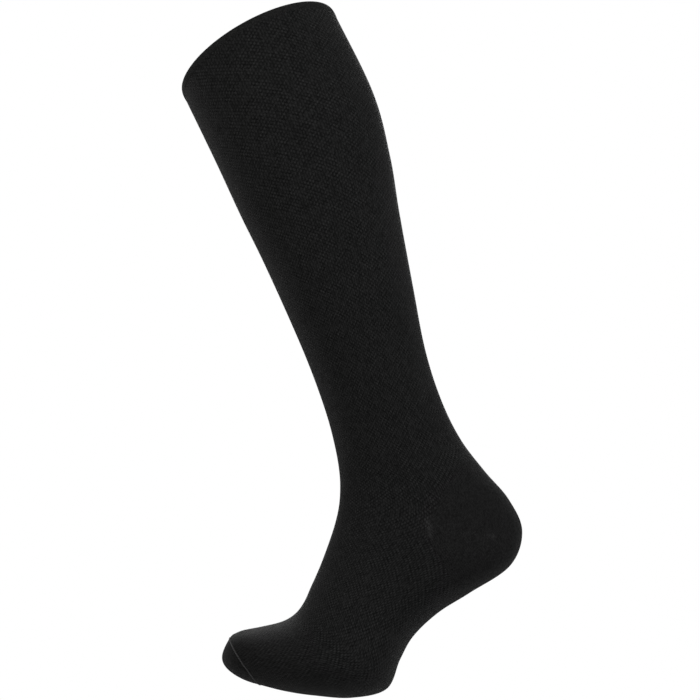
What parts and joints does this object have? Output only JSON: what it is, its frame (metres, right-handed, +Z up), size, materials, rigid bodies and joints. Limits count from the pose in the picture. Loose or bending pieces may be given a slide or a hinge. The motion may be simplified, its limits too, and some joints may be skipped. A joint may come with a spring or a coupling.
{
  "type": "compression stocking",
  "caption": "Knee-high compression stocking, a fine-knit tube with turned top edge, heel pouch and closed toe, filled out in a tiptoe pose with an open top.",
  "frame": {"origin": "middle of the top opening, where the wearer's leg holds the stocking up", "axes": "+Z up with the leg leaning back over the toes, toes to -X, heel to +X, sides mirrored across XZ"},
  "size_m": [0.25, 0.125, 0.5111],
  "materials": {
    "leg_knit": "matte charcoal fine knit with vertical wales and a soft edge sheen",
    "reinforced_knit": "matte charcoal denser plain knit at heel and toe",
    "top_edge": "matte charcoal turned double edge"
  },
  "bodies": {
    "root": {"top_band": "top_edge", "leg": "leg_knit", "heel_pouch": "reinforced_knit", "foot": "leg_knit", "toe_cap": "reinforced_knit"}
  },
  "joints": []
}
